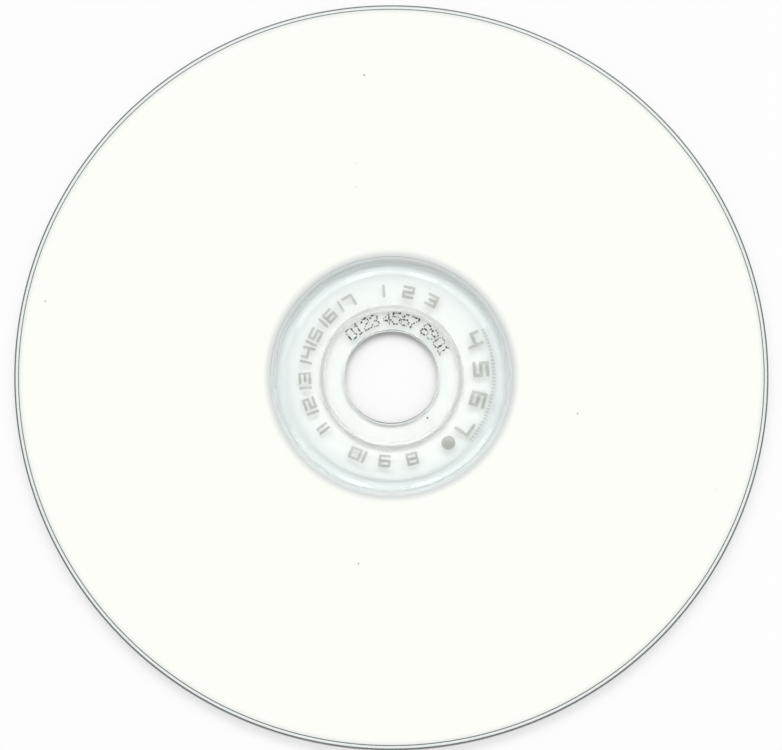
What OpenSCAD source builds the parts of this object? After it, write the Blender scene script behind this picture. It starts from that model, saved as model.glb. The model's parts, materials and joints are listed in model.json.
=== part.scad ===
// Recordable compact disc with a white printable label side.
// It lies label side up, on the stacking ring that is moulded round its hub.
// Origin: on the axis of the spindle hole, level with the crest of the stacking ring.
// +Z points out of the label side. All lengths are in millimetres.

/* [Moulded disc] */
// Outer diameter of the clear disc
disc_d = 120; // [80:1:125]
// Thickness of the plastic from the read face to the label face
disc_t = 1.2; // [1.1:0.05:1.5]
// Radius on both corners of the outer edge
edge_r = 0.15; // [0.05:0.05:0.3]

/* [Spindle hole] */
// Diameter of the hole that goes over a drive's spindle
hole_d = 15; // [15:0.05:15.2]
// Chamfer at both mouths of the hole
hole_chamfer = 0.1; // [0.05:0.05:0.2]

/* [Hub recess, label side] */
// Diameter at the crisp corner where the recess starts
recess_d = 22.9; // [20:0.1:26]
// Depth of the recess floor below the label face
recess_depth = 0.25; // [0.1:0.05:0.4]
// Radial run of the hollow cove from the corner down to the floor
cove_run = 0.8; // [0.5:0.1:1.2]

/* [Stacking ring, read side] */
// Diameter of the ring, at the middle of its crest
stack_d = 34.8; // [34:0.1:36]
// Width of the flat crest that the disc rests on
crest_w = 0.4; // [0.3:0.1:1]
// Height of the crest above the read face
stack_h = 0.15; // [0.1:0.05:0.4]
// Radial run of each sloping flank
stack_flank = 0.7; // [0.2:0.1:1]

/* [Label coat] */
// Inner diameter of the white coat
coat_in_d = 38.4; // [37:0.1:41]
// Width of the clear rim left bare outside the coat
bare_rim = 0.6; // [0.3:0.05:1]
// Thickness of the coat on the label face
coat_t = 0.05; // [0.04:0.005:0.1]
// Radial run over which the coat thins out at its two edges
coat_feather = 0.1; // [0.05:0.05:0.15]

/* [Recording layer] */
// How far the coat reaches past the film's inner edge, towards the hub
inner_seal = 0.7; // [0.3:0.05:3]
// How far the coat reaches past the film's outer edge, towards the rim
outer_seal = 0.8; // [0.3:0.05:1.5]
// Thickness of the film
film_t = 0.02; // [0.01:0.005:0.03]

/* [Hidden] */
$fn = 180;
arc_steps = 6;

disc_r = disc_d / 2;
hole_r = hole_d / 2;

// Heights above the surface that the disc lies on
read_z = stack_h;
label_z = read_z + disc_t;
floor_z = label_z - recess_depth;

// The cove is one arc: level where it meets the floor, cut off at the crisp corner
cove_r = (cove_run * cove_run + recess_depth * recess_depth) / (2 * recess_depth);
cove_sweep = asin(cove_run / cove_r);
cove_foot = recess_d / 2 - cove_run;

crest_in = (stack_d - crest_w) / 2;
crest_out = (stack_d + crest_w) / 2;

coat_in = coat_in_d / 2;
coat_out = disc_r - bare_rim;
film_in = coat_in + inner_seal;
film_out = coat_out - outer_seal;

// Points along an arc in the half section, from one angle to another
function arc(centre, radius, from, to) = [
    for (i = [0:arc_steps])
        let (a = from + (to - from) * i / arc_steps)
        centre + radius * [cos(a), sin(a)]
];

// The hole's wall with its two chamfers, from the recess down to the read face
function hole_wall() = [
    [hole_r + hole_chamfer, floor_z],
    [hole_r, floor_z - hole_chamfer],
    [hole_r, read_z + hole_chamfer],
    [hole_r + hole_chamfer, read_z]
];

// The stacking ring, which hangs below the read face
function stacking_ring() = [
    [crest_in - stack_flank, read_z],
    [crest_in, 0],
    [crest_out, 0],
    [crest_out + stack_flank, read_z]
];

// The outer edge, rounded at both corners
function outer_edge() = concat(
    arc([disc_r - edge_r, read_z + edge_r], edge_r, -90, 0),
    arc([disc_r - edge_r, label_z - edge_r], edge_r, 0, 90)
);

// The cove, from its corner in the label face to the recess floor
function recess_cove() =
    arc([cove_foot, floor_z + cove_r], cove_r, cove_sweep - 90, -90);

// Clear disc, moulded in one piece with its hub, recess and stacking ring
module substrate() {
    color([0.84, 0.90, 0.90, 0.5])
        rotate_extrude()
            polygon(concat(hole_wall(), stacking_ring(), outer_edge(), recess_cove()));
}

// Reflective film on the label face, under the coat
module recording_layer() {
    color([0.62, 0.72, 0.80])
        rotate_extrude()
            translate([film_in, label_z])
                square([film_out - film_in, film_t]);
}

// White printable coat, with a pocket underneath that the film fills
module label_coat() {
    color([0.99, 0.99, 0.97])
        rotate_extrude()
            polygon([
                [coat_in, label_z],
                [film_in, label_z],
                [film_in, label_z + film_t],
                [film_out, label_z + film_t],
                [film_out, label_z],
                [coat_out, label_z],
                [coat_out - coat_feather, label_z + coat_t],
                [coat_in + coat_feather, label_z + coat_t]
            ]);
}

substrate();
recording_layer();
label_coat();
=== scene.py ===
import json
import math
import random
import bpy
import bmesh
from mathutils import Matrix, Vector


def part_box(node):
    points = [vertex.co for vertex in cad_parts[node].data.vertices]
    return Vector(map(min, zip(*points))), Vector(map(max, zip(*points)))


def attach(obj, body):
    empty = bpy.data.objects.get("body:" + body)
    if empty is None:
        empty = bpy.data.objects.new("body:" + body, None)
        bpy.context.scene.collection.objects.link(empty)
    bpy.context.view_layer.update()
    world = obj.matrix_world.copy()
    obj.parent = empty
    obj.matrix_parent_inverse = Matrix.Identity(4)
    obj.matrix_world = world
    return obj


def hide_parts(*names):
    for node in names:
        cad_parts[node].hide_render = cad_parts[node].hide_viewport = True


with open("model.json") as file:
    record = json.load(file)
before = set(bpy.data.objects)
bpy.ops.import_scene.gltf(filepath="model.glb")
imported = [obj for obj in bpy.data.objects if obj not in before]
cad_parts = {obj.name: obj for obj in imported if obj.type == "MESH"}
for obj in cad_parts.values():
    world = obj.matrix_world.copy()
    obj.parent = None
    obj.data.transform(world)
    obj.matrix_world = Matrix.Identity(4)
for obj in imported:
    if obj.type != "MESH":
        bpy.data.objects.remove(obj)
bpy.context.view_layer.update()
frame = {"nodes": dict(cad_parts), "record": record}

print("frame loaded:", ", ".join(sorted(frame["nodes"])))

mm = 0.001
sharpAngle = 8  # degrees between two faces, from which their edge shades as a corner
scene = bpy.context.scene


# Small helpers
def colour(text, alpha=1.0):
    # sRGB hex, as a paint program shows it, to the linear values that a shader takes
    parts = [int(text[i:i + 2], 16) / 255 for i in (1, 3, 5)]
    linear = [c / 12.92 if c <= 0.04045 else ((c + 0.055) / 1.055) ** 2.4 for c in parts]
    return (*linear, alpha)


def addNode(tree, kind, settings=None, inputs=None):
    # Inputs are values, or the sockets of other nodes to link from
    node = tree.nodes.new(kind)
    for name, value in (settings or {}).items():
        setattr(node, name, value)
    for name, value in (inputs or {}).items():
        if isinstance(value, bpy.types.NodeSocket):
            tree.links.new(value, node.inputs[name])
        else:
            node.inputs[name].default_value = value
    return node


def newMaterial(name):
    material = bpy.data.materials.new(name)
    material.use_nodes = True
    tree = material.node_tree
    tree.nodes.clear()
    return material, tree


def finished(material, tree, inputs):
    # Ends a material in one Principled shader
    shader = addNode(tree, "ShaderNodeBsdfPrincipled", None, inputs)
    addNode(tree, "ShaderNodeOutputMaterial", None, {"Surface": shader.outputs["BSDF"]})
    return material


def radiusFromAxis(tree):
    # Distance from the disc's axis in metres, on Object coordinates
    place = addNode(tree, "ShaderNodeTexCoord")
    flat = addNode(tree, "ShaderNodeVectorMath", {"operation": "MULTIPLY"},
                   {0: place.outputs["Object"], 1: (1.0, 1.0, 0.0)})
    length = addNode(tree, "ShaderNodeVectorMath", {"operation": "LENGTH"}, {0: flat.outputs["Vector"]})
    return length.outputs["Value"]


def heightOnAxis(tree):
    place = addNode(tree, "ShaderNodeTexCoord")
    return addNode(tree, "ShaderNodeSeparateXYZ", None, {"Vector": place.outputs["Object"]}).outputs["Z"]


def ramp(tree, value, fromMm, toMm, low=0.0, high=1.0):
    # Smooth step from one radius or height to another, both in millimetres
    node = addNode(tree, "ShaderNodeMapRange", {"interpolation_type": "SMOOTHSTEP"},
                   {"Value": value, "From Min": fromMm * mm, "From Max": toMm * mm,
                    "To Min": low, "To Max": high})
    return node.outputs["Result"]


def times(tree, a, b):
    return addNode(tree, "ShaderNodeMath", {"operation": "MULTIPLY"}, {0: a, 1: b}).outputs[0]


def most(tree, a, b):
    return addNode(tree, "ShaderNodeMath", {"operation": "MAXIMUM"}, {0: a, 1: b}).outputs[0]


def beforeMattBounce(tree):
    path = addNode(tree, "ShaderNodeLightPath")
    return addNode(tree, "ShaderNodeMath", {"operation": "LESS_THAN"},
                   {0: path.outputs["Diffuse Depth"], 1: 0.5}).outputs[0]


def backgroundRays(tree):
    # 1 for what the camera sees by itself, in a mirror or through something clear, 0 for light on a surface
    path = addNode(tree, "ShaderNodeLightPath")
    seen = most(tree, path.outputs["Is Camera Ray"], path.outputs["Is Glossy Ray"])
    seen = most(tree, seen, path.outputs["Is Transmission Ray"])
    return times(tree, seen, beforeMattBounce(tree))


def mixColour(tree, factor, a, b):
    node = addNode(tree, "ShaderNodeMix", {"data_type": "RGBA"})
    for socket, value in ((node.inputs[0], factor), (node.inputs[6], a), (node.inputs[7], b)):
        if isinstance(value, bpy.types.NodeSocket):
            tree.links.new(value, socket)
        else:
            socket.default_value = value
    return node.outputs[2]


def newTree(name, inputs):
    # A Geometry Nodes tree with named inputs, and its group input node
    tree = bpy.data.node_groups.new(name, "GeometryNodeTree")
    for label, kind in (("Geometry", "Geometry"), *inputs, ("Material", "Material")):
        tree.interface.new_socket(label, in_out="INPUT", socket_type="NodeSocket" + kind)
    tree.interface.new_socket("Geometry", in_out="OUTPUT", socket_type="NodeSocketGeometry")
    return tree, addNode(tree, "NodeGroupInput").outputs


def endTree(tree, given, geometry):
    real = addNode(tree, "GeometryNodeRealizeInstances", None, {"Geometry": geometry})
    paint = addNode(tree, "GeometryNodeSetMaterial", None,
                    {"Geometry": real.outputs["Geometry"], "Material": given["Material"]})
    addNode(tree, "NodeGroupOutput", None, {"Geometry": paint.outputs["Geometry"]})
    return tree


def socketId(tree, name):
    return next(s.identifier for s in tree.interface.items_tree
                if s.item_type == "SOCKET" and s.in_out == "INPUT" and s.name == name)


def throughTree(name, mesh, tree, values):
    # Runs a Geometry Nodes tree on a mesh and returns the result as a plain mesh
    carrier = bpy.data.objects.new(name, mesh)
    scene.collection.objects.link(carrier)
    modifier = carrier.modifiers.new("shape", "NODES")
    modifier.node_group = tree
    for key, value in values.items():
        modifier[socketId(tree, key)] = value
    depsgraph = bpy.context.evaluated_depsgraph_get()
    made = bpy.data.meshes.new_from_object(carrier.evaluated_get(depsgraph))
    made.name = name
    bpy.data.objects.remove(carrier)
    return made


def markSharp(shape):
    for edge in shape.edges:
        edge.smooth = len(edge.link_faces) != 2 or edge.calc_face_angle(0.0) < math.radians(sharpAngle)
    for face in shape.faces:
        face.smooth = True


# Sizes, in millimetres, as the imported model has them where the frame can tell
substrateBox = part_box("substrate")
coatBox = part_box("label_coat")
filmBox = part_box("recording_layer")
mounts = {m["name"]: m for m in frame["record"]["mounts"]}

disc = {
    "radius": substrateBox[1].x / mm,
    "labelZ": substrateBox[1].z / mm,
    "readZ": mounts["clamping_face"]["pos_m"][2] / mm,  # the stacking ring hangs this far below
    "edgeRadius": 0.15,
    "holeRadius": mounts["centre_hole"]["dims"]["r_mm"],
    "holeChamfer": 0.1,
    "recessRadius": 11.45,
    "recessDepth": 0.25,
    "coveRun": 0.8,
    "crestIn": 17.2,
    "crestOut": 17.6,
    "crestFlank": 0.7,
    "segments": 720,  # round the axis
    "arcSteps": 12,  # along each rounded line of the section
}
coat = {
    "inner": 19.2,
    "outer": 59.4,
    "top": coatBox[1].z / mm,
    "feather": 0.1,
    "hubShadePast": 0.7,  # how far past the film's inner edge its painted shade reaches
    "greyBefore": 0.2,  # how far inside the film's outer edge its grey starts
    "shadeLineFrom": 0.22,  # the thin line of painted shade, from its outer edge inwards
    "shadeLineTo": 0.12,
}
film = {
    "inner": 19.9,
    "outer": 58.6,
    "top": filmBox[1].z / mm,
    "bite": 0.003,  # how far its underside lies in the plastic
    "grooveFrom": 22.4,  # radii between which the spiral groove begins
    "grooveTo": 22.9,
}


# Half sections: the outline that is turned round the disc's axis
def arc(centreR, centreZ, radius, start, end, steps):
    angles = [math.radians(start + (end - start) * i / steps) for i in range(steps + 1)]
    return [(centreR + radius * math.cos(a), centreZ + radius * math.sin(a)) for a in angles]


def substrateSection(d):
    floorZ = d["labelZ"] - d["recessDepth"]
    edge = d["edgeRadius"]
    coveRadius = (d["coveRun"] ** 2 + d["recessDepth"] ** 2) / (2 * d["recessDepth"])
    coveSweep = math.degrees(math.asin(d["coveRun"] / coveRadius))
    hole = [
        (d["holeRadius"] + d["holeChamfer"], floorZ),
        (d["holeRadius"], floorZ - d["holeChamfer"]),
        (d["holeRadius"], d["readZ"] + d["holeChamfer"]),
        (d["holeRadius"] + d["holeChamfer"], d["readZ"]),
    ]
    stackingRing = [
        (d["crestIn"] - d["crestFlank"], d["readZ"]),
        (d["crestIn"], 0),
        (d["crestOut"], 0),
        (d["crestOut"] + d["crestFlank"], d["readZ"]),
    ]
    rim = arc(d["radius"] - edge, d["readZ"] + edge, edge, -90, 0, d["arcSteps"])
    rim += arc(d["radius"] - edge, d["labelZ"] - edge, edge, 0, 90, d["arcSteps"])
    coveFoot = d["recessRadius"] - d["coveRun"]
    cove = arc(coveFoot, floorZ + coveRadius, coveRadius, coveSweep - 90, -90, d["arcSteps"])
    return hole + stackingRing + rim + cove


def coatSection(c, f, labelZ):
    return [
        (c["inner"], labelZ),
        (f["inner"], labelZ),
        (f["inner"], f["top"]),
        (f["outer"], f["top"]),
        (f["outer"], labelZ),
        (c["outer"], labelZ),
        (c["outer"] - c["feather"], c["top"]),
        (c["inner"] + c["feather"], c["top"]),
    ]


def filmSection(f, labelZ):
    # Its underside lies a hair inside the plastic, so light from below meets the film before it leaves the disc
    under = labelZ - f["bite"]
    return [
        (f["inner"], under),
        (f["outer"], under),
        (f["outer"], f["top"]),
        (f["inner"], f["top"]),
    ]


# Turning: a Geometry Nodes tree that sweeps a half section round the Z axis
def turningTree():
    tree, given = newTree("turnRoundAxis", (("Segments", "Int"), ("Sweep Radius", "Float")))
    circle = addNode(tree, "GeometryNodeCurvePrimitiveCircle", None,
                     {"Resolution": given["Segments"], "Radius": given["Sweep Radius"]})
    section = addNode(tree, "GeometryNodeMeshToCurve", None, {"Mesh": given["Geometry"]})
    sweep = addNode(tree, "GeometryNodeCurveToMesh", None,
                    {"Curve": circle.outputs["Curve"], "Profile Curve": section.outputs["Curve"]})
    return endTree(tree, given, sweep.outputs["Mesh"])


def turned(name, section, material, tree, segments):
    # The sweep takes the section's Y as down, and its X from the sweep's circle outwards
    sweepRadius = 1.0
    points = [(r * mm - sweepRadius, -z * mm, 0.0) for r, z in section]
    edges = [(i, (i + 1) % len(points)) for i in range(len(points))]
    wire = bpy.data.meshes.new(name + "Section")
    wire.from_pydata(points, edges, [])
    mesh = throughTree(name, wire, tree, {
        "Segments": segments, "Sweep Radius": sweepRadius, "Material": material,
    })
    # The sweep leaves the walls facing inwards
    shape = bmesh.new()
    shape.from_mesh(mesh)
    bmesh.ops.recalc_face_normals(shape, faces=shape.faces)
    markSharp(shape)
    shape.to_mesh(mesh)
    shape.free()
    return mesh


# Marks moulded into the hub: plain numbers on a dial, and its ticks
dial = {
    "depth": 0.18,  # of the cutting solids, half of it in the plastic
    "stroke": 0.2,  # of a numeral's height, as are the next three
    "width": 0.95,
    "gap": 0.2,
    "rounding": 0.05,
    "draft": 0.05,  # run of the round mark's sloping wall
    "small": 2.0,  # height of a small numeral
    "smallRadius": 13.75,  # to the middle of the small numerals
    "large": 2.6,
    "largeRadius": 14.3,
    # Groups: the first number, the angles of the first and the last, and how many
    "smallGroups": ((1, 95, 62, 3), (8, 284, 247, 3), (11, 218, 166, 4), (15, 153, 121, 3)),
    "largeGroup": (4, 24, -35, 4),
    "tickRadius": 16.3,
    "tickLength": 0.5,
    "tickWidth": 0.2,
    "tickFrom": -39.0,
    "tickTo": 27.0,
    "tickCount": 34,
    "dotRadius": 1.15,  # the plain round mark between two groups
    "dotAt": (14.1, -50.0),
}


# The cells of a digit's grid that are filled, row by row from the top
blockCells = {
    "0": "111 101 101 101 111",
    "1": "001 001 001 001 001",
    "2": "111 001 111 100 111",
    "3": "111 001 011 001 111",
    "4": "101 101 111 001 001",
    "5": "111 100 111 001 111",
    "6": "111 100 111 101 111",
    "7": "111 001 001 001 001",
    "8": "111 101 111 101 111",
    "9": "111 101 111 001 111",
}


def blockDigits(text, height, n):
    # A number in plain block digits, centred. Each digit fills cells of a grid of three columns and five rows,
    # whose outer columns and odd rows are one stroke wide
    stroke = n["stroke"] * height
    wide = n["width"] * height
    columns = (0.0, stroke, wide - stroke, wide)
    inner = (height - 3 * stroke) / 2
    rows = (height, height - stroke, height - stroke - inner, stroke + inner, stroke, 0.0)
    advances = [(stroke if digit == "1" else wide) + n["gap"] * height for digit in text]
    total = sum(advances) - n["gap"] * height
    shape = bmesh.new()
    x = -total / 2
    for digit, advance in zip(text, advances):
        left = x - (wide - stroke) if digit == "1" else x
        corners = {}
        for row, line in enumerate(blockCells[digit].split()):
            for column, mark in enumerate(line):
                if mark == "1":
                    ring = []
                    for i, j in ((column, row + 1), (column + 1, row + 1), (column + 1, row), (column, row)):
                        if (i, j) not in corners:
                            place = ((left + columns[i]) * mm, (rows[j] - height / 2) * mm, 0)
                            corners[i, j] = shape.verts.new(place)
                        ring.append(corners[i, j])
                    shape.faces.new(ring)
        x += advance
    # Round the corners in plan, then give the outline its depth
    bends = [v for v in shape.verts if v.is_boundary and len(v.link_edges) == 2]
    bmesh.ops.bevel(shape, geom=bends, offset=n["rounding"] * height * mm, segments=3, profile=0.5,
                    affect="VERTICES")
    bmesh.ops.dissolve_faces(shape, faces=shape.faces)
    flat = list(shape.faces)
    raised = bmesh.ops.extrude_face_region(shape, geom=flat)
    tops = [item for item in raised["geom"] if isinstance(item, bmesh.types.BMVert)]
    bmesh.ops.translate(shape, verts=tops, vec=(0, 0, n["depth"] * mm))
    bmesh.ops.translate(shape, verts=shape.verts, vec=(0, 0, -n["depth"] / 2 * mm))
    bmesh.ops.recalc_face_normals(shape, faces=shape.faces)
    mesh = bpy.data.meshes.new("digits")
    shape.to_mesh(mesh)
    shape.free()
    return mesh


def onDial(radius, degrees, z):
    # A place on the dial with its top pointing outwards
    a = math.radians(degrees)
    return Matrix.Translation((radius * mm * math.cos(a), radius * mm * math.sin(a), z * mm)) \
        @ Matrix.Rotation(a - math.pi / 2, 4, "Z")


def ticksTree():
    tree, given = newTree("dialTicks", (
        ("Count", "Int"), ("First Angle", "Float"), ("Step", "Float"), ("Radius", "Float"),
        ("Length", "Float"), ("Width", "Float"), ("Height", "Float"), ("Level", "Float"),
    ))
    line = addNode(tree, "GeometryNodeMeshLine", None, {"Count": given["Count"], "Offset": (0.0, 0.0, 0.0)})
    index = addNode(tree, "GeometryNodeInputIndex")
    angle = addNode(tree, "ShaderNodeMath", {"operation": "MULTIPLY_ADD"},
                    {0: index.outputs[0], 1: given["Step"], 2: given["First Angle"]})
    outwards = addNode(tree, "ShaderNodeCombineXYZ", None, {"X": given["Radius"], "Z": given["Level"]})
    place = addNode(tree, "ShaderNodeVectorRotate", {"rotation_type": "Z_AXIS"},
                    {"Vector": outwards.outputs[0], "Angle": angle.outputs[0]})
    points = addNode(tree, "GeometryNodeSetPosition", None,
                     {"Geometry": line.outputs["Mesh"], "Position": place.outputs[0]})
    size = addNode(tree, "ShaderNodeCombineXYZ", None,
                   {"X": given["Length"], "Y": given["Width"], "Z": given["Height"]})
    block = addNode(tree, "GeometryNodeMeshCube", None, {"Size": size.outputs[0]})
    turn = addNode(tree, "ShaderNodeCombineXYZ", None, {"Z": angle.outputs[0]})
    rotation = addNode(tree, "FunctionNodeEulerToRotation", None, {"Euler": turn.outputs[0]})
    copies = addNode(tree, "GeometryNodeInstanceOnPoints", None,
                     {"Points": points.outputs["Geometry"], "Instance": block.outputs["Mesh"],
                      "Rotation": rotation.outputs[0]})
    return endTree(tree, given, copies.outputs["Instances"])


def booleanMesh(mesh, other, operation):
    # New faces keep the material index that they have in their own mesh
    target = bpy.data.objects.new("booleanTarget", mesh)
    tool = bpy.data.objects.new("booleanTool", other)
    for piece in (target, tool):
        scene.collection.objects.link(piece)
    modifier = target.modifiers.new("combine", "BOOLEAN")
    modifier.operation = operation
    modifier.solver = "EXACT"
    modifier.material_mode = "INDEX"
    modifier.object = tool
    depsgraph = bpy.context.evaluated_depsgraph_get()
    made = bpy.data.meshes.new_from_object(target.evaluated_get(depsgraph))
    bpy.data.objects.remove(target)
    bpy.data.objects.remove(tool)
    return made


def dialCutter(d, labelZ, material):
    # Everything that is sunk into the label face, as one mesh of closed solids
    shape = bmesh.new()
    numbers = [(first + i, start + (end - start) * i / (count - 1), d["smallRadius"], d["small"])
               for first, start, end, count in d["smallGroups"] for i in range(count)]
    first, start, end, count = d["largeGroup"]
    numbers += [(first + i, start + (end - start) * i / (count - 1), d["largeRadius"], d["large"])
                for i in range(count)]
    for number, degrees, radius, height in numbers:
        mesh = blockDigits(str(number), height, d)
        mesh.transform(onDial(radius, degrees, labelZ))
        shape.from_mesh(mesh)
    step = (d["tickTo"] - d["tickFrom"]) / (d["tickCount"] - 1)
    ticks = throughTree("ticks", bpy.data.meshes.new("ticksSeed"), ticksTree(), {
        "Count": d["tickCount"], "First Angle": math.radians(d["tickFrom"]), "Step": math.radians(step),
        "Radius": d["tickRadius"] * mm, "Length": d["tickLength"] * mm, "Width": d["tickWidth"] * mm,
        "Height": d["depth"] * mm, "Level": labelZ * mm, "Material": material,
    })
    shape.from_mesh(ticks)
    radius, degrees = d["dotAt"]
    top = d["dotRadius"] * mm
    bmesh.ops.create_cone(shape, cap_ends=True, segments=48, radius1=top - d["draft"] * mm, radius2=top,
                          depth=d["depth"] * mm, matrix=onDial(radius, degrees, labelZ))
    bmesh.ops.recalc_face_normals(shape, faces=shape.faces)
    for face in shape.faces:
        face.material_index = 1
    mesh = bpy.data.meshes.new("dialCutter")
    shape.to_mesh(mesh)
    shape.free()
    return mesh


# Lot marks: dots burnt into the recess floor, in plain counting digits
dots = {
    "radius": 9.3,  # to the middle of the digits
    "height": 1.75,
    "width": 1.1,
    "advance": 9.0,  # degrees from digit to digit
    "groups": (("0123", 120.0), ("4567", 80.5), ("8901", 40.0)),
    "dotRadius": 0.135,
    "dotThickness": 0.01,
    "jitter": 0.05,  # how far a dot strays from its place
    "smallest": 0.55,  # share of the dot's radius
    "largest": 1.3,
    "seed": 7,
}
# The dots of each digit, row by row from the top
dotDigits = {
    "0": "01110 10001 10001 10001 10001 10001 01110",
    "1": "00100 01100 00100 00100 00100 00100 01110",
    "2": "01110 10001 00001 00110 01000 10000 11111",
    "3": "01110 10001 00001 00110 00001 10001 01110",
    "4": "00010 00110 01010 10010 11111 00010 00010",
    "5": "11111 10000 11110 00001 00001 10001 01110",
    "6": "00110 01000 10000 11110 10001 10001 01110",
    "7": "11111 00001 00010 00100 01000 01000 01000",
    "8": "01110 10001 10001 01110 10001 10001 01110",
    "9": "01110 10001 10001 01111 00001 00010 01100",
}


def dotPlaces(d, z):
    places = []
    for digits, middle in d["groups"]:
        for i, digit in enumerate(digits):
            degrees = middle + ((len(digits) - 1) / 2 - i) * d["advance"]
            place = onDial(d["radius"], degrees, z)
            for row, line in enumerate(dotDigits[digit].split()):
                for column, mark in enumerate(line):
                    if mark == "1":
                        x = (column / 4 - 0.5) * d["width"] * mm
                        y = (0.5 - row / 6) * d["height"] * mm
                        places.append(place @ Vector((x, y, 0.0)))
    return places


def dotsTree():
    tree, given = newTree("burntDots", (
        ("Dot Radius", "Float"), ("Thickness", "Float"), ("Jitter", "Float"),
        ("Smallest", "Float"), ("Largest", "Float"), ("Seed", "Int"),
    ))
    down = addNode(tree, "ShaderNodeMath", {"operation": "MULTIPLY"}, {0: given["Jitter"], 1: -1.0})
    low = addNode(tree, "ShaderNodeCombineXYZ", None, {"X": down.outputs[0], "Y": down.outputs[0]})
    high = addNode(tree, "ShaderNodeCombineXYZ", None, {"X": given["Jitter"], "Y": given["Jitter"]})
    stray = addNode(tree, "FunctionNodeRandomValue", {"data_type": "FLOAT_VECTOR"},
                    {0: low.outputs[0], 1: high.outputs[0], "Seed": given["Seed"]})
    moved = addNode(tree, "GeometryNodeSetPosition", None,
                    {"Geometry": given["Geometry"], "Offset": stray.outputs[0]})
    dot = addNode(tree, "GeometryNodeMeshCylinder", None,
                  {"Vertices": 12, "Radius": given["Dot Radius"], "Depth": given["Thickness"]})
    scale = addNode(tree, "FunctionNodeRandomValue", {"data_type": "FLOAT"},
                    {2: given["Smallest"], 3: given["Largest"], "Seed": given["Seed"]})
    copies = addNode(tree, "GeometryNodeInstanceOnPoints", None,
                     {"Points": moved.outputs["Geometry"], "Instance": dot.outputs["Mesh"],
                      "Scale": scale.outputs[1]})
    return endTree(tree, given, copies.outputs["Instances"])


def burntDots(d, z, material):
    wire = bpy.data.meshes.new("dotPlaces")
    wire.from_pydata(dotPlaces(d, z), [], [])
    return throughTree("burntDots", wire, dotsTree(), {
        "Dot Radius": d["dotRadius"] * mm, "Thickness": d["dotThickness"] * mm,
        "Jitter": d["jitter"] * mm, "Smallest": d["smallest"], "Largest": d["largest"],
        "Seed": d["seed"], "Material": material,
    })


# Specks: the tiny flaws that the surface shows, each as x, y and radius
specks = {
    "coat": ((-4.35, 48.6, 0.13), (-5.2, -30.2, 0.12), (29.6, -6.1, 0.14), (-55.1, 12.0, 0.12)),
    "hub": ((5.75, -6.75, 0.16),),
    "pale": ((-5.67, 34.3, 0.1), (-5.67, 30.5, 0.09), (51.6, -18.3, 0.11)),
    "thickness": 0.012,
    "sides": 9,
    "seed": 11,
}


def speckMesh(places, z, s):
    # Flat irregular crumbs
    draw = random.Random(s["seed"])
    shape = bmesh.new()
    for x, y, radius in places:
        ring = []
        for i in range(s["sides"]):
            a = math.tau * i / s["sides"]
            reach = radius * draw.uniform(0.65, 1.25)
            ring.append((x + reach * math.cos(a), y + reach * math.sin(a)))
        half = s["thickness"] / 2
        low = [shape.verts.new((px * mm, py * mm, (z - half) * mm)) for px, py in ring]
        high = [shape.verts.new((px * mm, py * mm, (z + half) * mm)) for px, py in ring]
        shape.faces.new(high)
        shape.faces.new(list(reversed(low)))
        for i in range(s["sides"]):
            j = (i + 1) % s["sides"]
            shape.faces.new((low[i], low[j], high[j], high[i]))
    bmesh.ops.recalc_face_normals(shape, faces=shape.faces)
    mesh = bpy.data.meshes.new("specks")
    shape.to_mesh(mesh)
    shape.free()
    return mesh


def joined(name, parts):
    # Joins meshes; each part names the materials that its faces' indices stand for
    shape = bmesh.new()
    materials = []
    for mesh, own in parts:
        start = len(shape.faces)
        shape.from_mesh(mesh)
        shape.faces.ensure_lookup_table()
        for material in own:
            if material not in materials:
                materials.append(material)
        for face in shape.faces[start:]:
            face.material_index = materials.index(own[min(face.material_index, len(own) - 1)])
    markSharp(shape)
    mesh = bpy.data.meshes.new(name)
    shape.to_mesh(mesh)
    shape.free()
    for material in materials:
        mesh.materials.append(material)
    piece = bpy.data.objects.new(name, mesh)
    scene.collection.objects.link(piece)
    return piece


# Materials
# White veil on the clear plastic: shares of the surface that scatter white and don't let light through
veil = {
    "haze": 0.15,  # stray lacquer on the outer hub
    "hazeFrom": 13.5,  # radius where it starts
    "lacquer": 0.75,  # the same, close to the coat and under its edge
    "lacquerRun": 1.5,  # from where it thickens to the coat
    "lacquerUnder": 0.9,  # how far it reaches under the coat
    "cove": 0.3,
    "rim": 0.75,
}


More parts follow.
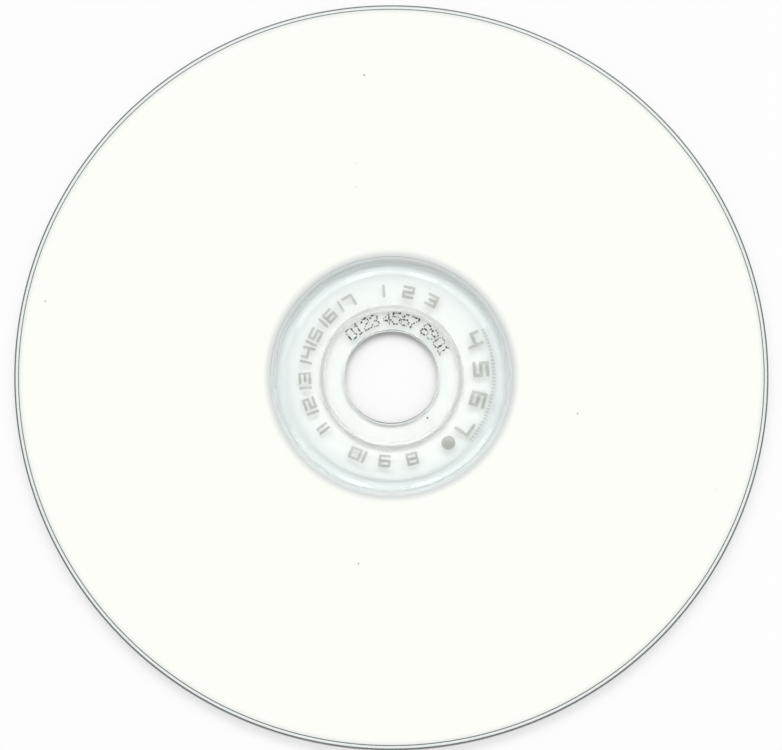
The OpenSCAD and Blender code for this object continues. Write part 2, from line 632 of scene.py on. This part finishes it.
def polycarbonateMoulded(d, c, v):
    # Clear polycarbonate, injection moulded: water clear in the hub, with bright and dark lines at its edges.
    # The label side has a thin white veil in three places: stray lacquer round the coat, which fades towards
    # the middle, the bare rim, and the satin cove of the recess, which shades it like a hollow. Painted shade:
    # the plastic is tinted darker and cooler towards the coat, grey in the recess's corner, and dark at the rim
    material, tree = newMaterial("polycarbonateMoulded")
    radius = radiusFromAxis(tree)
    z = heightOnAxis(tree)
    topSide = ramp(tree, z, 0.55 * d["labelZ"], 0.65 * d["labelZ"])
    inner, recess, coveFoot = c["inner"], d["recessRadius"], d["recessRadius"] - d["coveRun"]
    haze = ramp(tree, radius, v["hazeFrom"], inner - 0.6)
    thick = ramp(tree, radius, inner - v["lacquerRun"], inner + 0.3, 0.0, v["lacquer"])
    reach = ramp(tree, radius, inner + v["lacquerUnder"], inner + v["lacquerUnder"] + 0.1, 1.0, 0.0)
    lacquer = times(tree, most(tree, times(tree, haze, v["haze"]), thick), reach)
    cove = times(tree, ramp(tree, radius, coveFoot - 0.15, coveFoot + 0.15),
                 ramp(tree, radius, recess - 0.02, recess + 0.02, v["cove"], 0.0))
    bareRim = ramp(tree, radius, c["outer"] - 0.1, c["outer"], 0.0, v["rim"])
    white = times(tree, most(tree, most(tree, lacquer, cove), bareRim), topSide)
    clearShare = addNode(tree, "ShaderNodeMath", {"operation": "SUBTRACT"}, {0: 1.0, 1: white})
    # Painted shade: the plastic is tinted darker and cooler towards the coat, where the coat shades the floor
    # beneath
    hub = mixColour(tree, haze, colour("#fcfffd"), colour("#f4faf9"))
    # Painted shade: a grey ring in the recess's corner, where the step shades the floor beneath
    recessCornerShade = times(tree, ramp(tree, radius, coveFoot, recess - 0.1),
                   ramp(tree, radius, recess - 0.02, recess + 0.02, 1.0, 0.0))
    recessCornerShaded = mixColour(tree, recessCornerShade, hub, colour("#dcdfdd"))
    # Painted shade: the edge is greyer, and darkest where it rounds into the label face, for the dark lines
    # that refraction and shadow give at the rim
    edge = ramp(tree, radius, d["radius"] - 0.3, d["radius"] - 0.18)
    rounding = ramp(tree, z, d["labelZ"] - 0.25, d["labelZ"] - 0.1)
    edgePaintedShade = mixColour(tree, rounding, colour("#a9adab"), colour("#5a5e5c"))
    return finished(material, tree, {
        "Base Color": mixColour(tree, edge, recessCornerShaded, edgePaintedShade),
        "Roughness": 0.0,
        "IOR": 1.585,
        "Transmission Weight": clearShare.outputs[0],
    })


def polycarbonateFrosted():
    # The same plastic where the mould was spark eroded: a grey bloom in the sunken marks
    material, tree = newMaterial("polycarbonateFrosted")
    return finished(material, tree, {
        "Base Color": colour("#acb0a8"),
        "Roughness": 0.4,
        "IOR": 1.585,
        "Transmission Weight": 1.0,
    })


def polycarbonatePunched():
    # The wall of the hole, cut by a punch after moulding: matt. Its grey is partly painted shade: it deepens
    # the shadow crescent beside the hole, and gives a fine dark line at each mouth
    material, tree = newMaterial("polycarbonatePunched")
    return finished(material, tree, {
        "Base Color": colour("#5f625f"),
        "Roughness": 0.5,
        "IOR": 1.585,
        "Transmission Weight": 1.0,
    })


def polycarbonateBurnt():
    # Charred by a marking laser: dull dark grey pits
    material, tree = newMaterial("polycarbonateBurnt")
    place = addNode(tree, "ShaderNodeTexCoord")
    patches = addNode(tree, "ShaderNodeTexNoise", None,  # patches of 0.4 mm
                      {"Vector": place.outputs["Object"], "Scale": 2.5 / mm, "Detail": 2.0})
    return finished(material, tree, {
        "Base Color": mixColour(tree, patches.outputs["Fac"], colour("#20201d"), colour("#54544e")),
        "Roughness": 0.6,
        "Specular IOR Level": 0.3,
    })


def whiteInkScreened(c, f, labelZ):
    # White ink-receptive coat, screen printed: matt, a shade warmer than the floor. Its real grain is too fine
    # to see, so it is drawn coarser, six grains to the millimetre, and only as a trace of bump. The coat is a
    # little greyer from just inside the film's outer edge to the rim, and ends in a thin grey line at the rim
    # that is painted shade. Towards the hub it thins out, and its grey there is painted shade of its inner edge
    material, tree = newMaterial("whiteInkScreened")
    place = addNode(tree, "ShaderNodeTexCoord")
    radius = radiusFromAxis(tree)
    grain = addNode(tree, "ShaderNodeTexNoise", None,
                    {"Vector": place.outputs["Object"], "Scale": 6 / mm, "Detail": 2.0, "Roughness": 0.6})
    bump = addNode(tree, "ShaderNodeBump", None,
                   {"Height": grain.outputs["Fac"], "Strength": 0.15, "Distance": 0.02 * mm})
    # Painted shade: grey towards the hub, where the coat's inner edge shades the floor beneath
    paintedShadeFromHub = ramp(tree, radius, c["inner"], f["inner"] + c["hubShadePast"], 1.0, 0.0)
    fromOutside = ramp(tree, radius, f["outer"] - c["greyBefore"], c["outer"])
    greyerOutwards = mixColour(tree, fromOutside, colour("#fdfef8"), colour("#eceeec"))
    body = mixColour(tree, paintedShadeFromHub, greyerOutwards, colour("#d6dad9"))
    # Painted shade: a thin dark line at the coat's outer edge, for the shadow and refraction there
    paintedEdgeShadeLine = ramp(tree, radius, c["outer"] - c["shadeLineFrom"], c["outer"] - c["shadeLineTo"])
    return finished(material, tree, {
        "Base Color": mixColour(tree, paintedEdgeShadeLine, body, colour("#6c706e")),
        "Roughness": 0.75,
        "Specular IOR Level": 0.3,
        "Normal": bump.outputs["Normal"],
        # The underside lies on the clear plastic and adds nothing of its own
        "Alpha": ramp(tree, heightOnAxis(tree), labelZ + 0.004, labelZ + 0.012),
    })


def inkSpeck():
    # A crumb of dust caught in the wet ink: brown-grey, dull
    material, tree = newMaterial("inkSpeck")
    return finished(material, tree, {"Base Color": colour("#6f6a60"), "Roughness": 0.8})


def inkSpeckPale():
    # A pinhole in the ink: hardly darker than the coat
    material, tree = newMaterial("inkSpeckPale")
    return finished(material, tree, {"Base Color": colour("#d2d0c8"), "Roughness": 0.8})


def silverSputtered(f):
    # Sputtered silver over dye: a mirror with a faint blue cast, drawn out into rays by the spiral groove.
    # Where there is no groove yet, the mirror is a little paler
    material, tree = newMaterial("silverSputtered")
    grooved = ramp(tree, radiusFromAxis(tree), f["grooveFrom"], f["grooveTo"])
    around = addNode(tree, "ShaderNodeTangent", {"direction_type": "RADIAL", "axis": "Z"})
    return finished(material, tree, {
        "Base Color": mixColour(tree, grooved, colour("#d3dade"), colour("#b9cad6")),
        "Metallic": 1.0,
        "Roughness": 0.22,
        "Anisotropic": 0.85,
        "Tangent": around.outputs["Tangent"],
    })


def matBoardWhite(d, b):
    # White board: matt, no grain to see from this far. Outside the disc it looks whiter to the camera, in
    # metal and through the clear plastic: that leaves a faint shadow round the rim and lights no surface
    material, tree = newMaterial("matBoardWhite")
    outside = ramp(tree, radiusFromAxis(tree), d["radius"] * b["whiteFrom"], d["radius"] * b["whiteTo"],
                   0.0, b["whiteShare"])
    share = times(tree, outside, backgroundRays(tree))
    white = addNode(tree, "ShaderNodeEmission", None, {"Color": (1, 1, 1, 1), "Strength": b["whiteness"]})
    shader = addNode(tree, "ShaderNodeBsdfPrincipled", None, {
        "Base Color": colour("#fefefe"),
        "Roughness": 0.9,
        "Specular IOR Level": 0.0,
    })
    mix = addNode(tree, "ShaderNodeMixShader", None,
                  {0: share, 1: shader.outputs["BSDF"], 2: white.outputs["Emission"]})
    addNode(tree, "ShaderNodeOutputMaterial", None, {"Surface": mix.outputs[0]})
    return material


# Pieces
turning = turningTree()
clear = polycarbonateMoulded(disc, coat, veil)
frosted = polycarbonateFrosted()
punchedShaded = polycarbonatePunched()
burnt = polycarbonateBurnt()
white = whiteInkScreened(coat, film, disc["labelZ"])
speckDark = inkSpeck()
speckPale = inkSpeckPale()
silver = silverSputtered(film)

blank = turned("clearDisc", substrateSection(disc), clear, turning, disc["segments"])
blank.materials.append(frosted)
blank.materials.append(punchedShaded)
for face in blank.polygons:
    if math.hypot(face.center.x, face.center.y) < (disc["holeRadius"] + 0.01) * mm:
        face.material_index = 2  # the hole's wall, grey partly as painted shade
moulded = booleanMesh(blank, dialCutter(dial, disc["labelZ"], frosted), "DIFFERENCE")
print("dial sunk:", len(moulded.polygons), "faces")
recessFloor = disc["labelZ"] - disc["recessDepth"]
marks = burntDots(dots, recessFloor, burnt)
substrate = joined("clearDisc", [
    (moulded, [clear, frosted, punchedShaded]),
    (marks, [burnt]),
    (speckMesh(specks["hub"], recessFloor, specks), [speckDark]),
])
labelCoat = joined("whiteCoat", [
    (turned("whiteCoat", coatSection(coat, film, disc["labelZ"]), white, turning, disc["segments"]), [white]),
    (speckMesh(specks["coat"], coat["top"], specks), [speckDark]),
    (speckMesh(specks["pale"], coat["top"], specks), [speckPale]),
])
reflectiveFilm = joined("reflectiveFilm", [
    (turned("reflectiveFilm", filmSection(film, disc["labelZ"]), silver, turning, disc["segments"]), [silver]),
])
for piece, node, slotName in ((substrate, "substrate", "clear_polycarbonate"),
                              (labelCoat, "label_coat", "white_coat"),
                              (reflectiveFilm, "recording_layer", "reflective_film")):
    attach(piece, "root")
    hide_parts(node)
print("pieces made")

# Floor
board = {
    "half": 6.0,  # metres
    "gap": 0.02,  # millimetres, just clear of the ring's crest
    "whiteFrom": 0.5,  # shares of the disc's radius, between which it turns whiter
    "whiteTo": 0.9,
    "whiteShare": 0.7,
    "whiteness": 0.985,
}
floorMesh = bpy.data.meshes.new("floor")
floorCorners = [(x * board["half"], y * board["half"], 0) for x, y in ((-1, -1), (1, -1), (1, 1), (-1, 1))]
floorMesh.from_pydata(floorCorners, [], [(0, 1, 2, 3)])
floor = bpy.data.objects.new("floor", floorMesh)
scene.collection.objects.link(floor)
floorMesh.materials.append(matBoardWhite(disc, board))
floor.location.z = -board["gap"] * mm

# Light: a strip of three soft lamps from the top of the view, and an even studio round it
light = {
    "keyStrength": 0.8,
    "keyAngle": 34.0,  # width of each lamp, in degrees
    "keyFromVertical": 43.0,
    "keySpread": (-32.0, 0.0, 32.0),
    "fill": 0.512,  # what the studio gives to surfaces
    "wallHeight": 0.6,  # sine of the height above which the studio is at full strength
    "wallShade": 0.4,
}
for i, spread in enumerate(light["keySpread"]):
    lampData = bpy.data.lights.new("key%d" % i, "SUN")
    lampData.energy = light["keyStrength"]
    lampData.angle = math.radians(light["keyAngle"])
    lamp = bpy.data.objects.new("key%d" % i, lampData)
    aside = Matrix.Rotation(math.radians(spread), 4, "Y")
    lamp.rotation_euler = (aside @ Matrix.Rotation(-math.radians(light["keyFromVertical"]), 4, "X")).to_euler()
    scene.collection.objects.link(lamp)

world = bpy.data.worlds.new("studio")
scene.world = world
world.use_nodes = True
sky = world.node_tree
sky.nodes.clear()
direction = addNode(sky, "ShaderNodeTexCoord")
up = addNode(sky, "ShaderNodeSeparateXYZ", None, {"Vector": direction.outputs["Generated"]})
overhead = addNode(sky, "ShaderNodeMapRange", {"interpolation_type": "SMOOTHSTEP"},
                   {"Value": up.outputs["Z"], "From Min": 0.0, "From Max": light["wallHeight"],
                    "To Min": light["wallShade"], "To Max": 1.0})
level = addNode(sky, "ShaderNodeMix", {"data_type": "FLOAT"},
                {"Factor": beforeMattBounce(sky), "A": light["fill"], "B": 1.0})
shaded = times(sky, level.outputs[0], overhead.outputs[0])
strength = addNode(sky, "ShaderNodeMix", {"data_type": "FLOAT"},
                   {"Factor": backgroundRays(sky), "A": shaded, "B": 1.0})
backdrop = addNode(sky, "ShaderNodeBackground", None,
                   {"Color": (1, 1, 1, 1), "Strength": strength.outputs[0]})
addNode(sky, "ShaderNodeOutputWorld", None, {"Surface": backdrop.outputs[0]})

# Camera
view = {
    "tilt": 9.1,  # degrees from straight down
    "distance": 2.1,
    "widthSeen": 124.4,  # across the picture, at the disc
    "aimX": -0.056,
    "aimY": 0.13,
}
cameraData = bpy.data.cameras.new("camera")
cameraData.sensor_width = 36
cameraData.lens = 36 * view["distance"] / (view["widthSeen"] * mm)
camera = bpy.data.objects.new("camera", cameraData)
scene.collection.objects.link(camera)
tilt = math.radians(view["tilt"])
aim = Vector((view["aimX"] * mm, view["aimY"] * mm, disc["labelZ"] * mm))
camera.location = aim + Vector((0, -math.sin(tilt), math.cos(tilt))) * view["distance"]
camera.rotation_euler = (tilt, 0, 0)
cameraData.clip_start = 0.1
cameraData.clip_end = 50
scene.camera = camera
print("floor, light and camera set")

scene.view_settings.view_transform = "Standard"
# Clear plastic passes the light of the floor on unblurred, and so without a loss
scene.cycles.blur_glossy = 0.0
